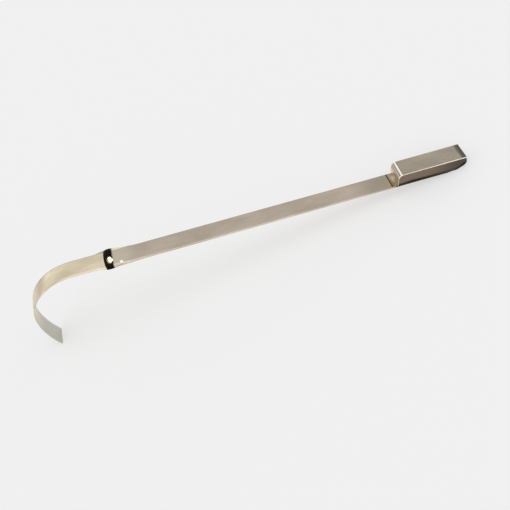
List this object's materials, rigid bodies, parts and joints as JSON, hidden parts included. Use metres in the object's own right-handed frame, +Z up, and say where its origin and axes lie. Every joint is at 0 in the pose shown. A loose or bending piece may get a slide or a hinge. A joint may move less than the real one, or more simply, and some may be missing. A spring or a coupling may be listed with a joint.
{
  "type": "hooked flat bar tool",
  "caption": "Polished flat bar with a thin curved hook blade let into a domed nose at one end and a solid striking block screwed on at the other.",
  "frame": {"origin": "centre of the bounding box on the ground plane; the tool lies on its hook tip and its tail, bar level side to side", "axes": "+X from the hook to the striking block along the ground, +Y across the bar, +Z up; the bar slopes down 12.434 degrees towards the block"},
  "size_m": [0.6192, 0.0348, 0.1164],
  "materials": {
    "bar_metal": "worn satin polish, drawn lengthwise, warm grey",
    "blade_metal": "bright polish, slightly yellow",
    "block_metal": "satin polish with bright worn edges",
    "pin_metal": "ground flush",
    "screw_metal": "dull"
  },
  "bodies": {
    "root": {"shank": "bar_metal", "hook_blade": "blade_metal", "striking_block": "block_metal", "blade_pin_1": "pin_metal", "blade_pin_2": "pin_metal", "block_screw_1": "screw_metal", "block_screw_2": "screw_metal", "block_screw_3": "screw_metal"}
  },
  "joints": []
}
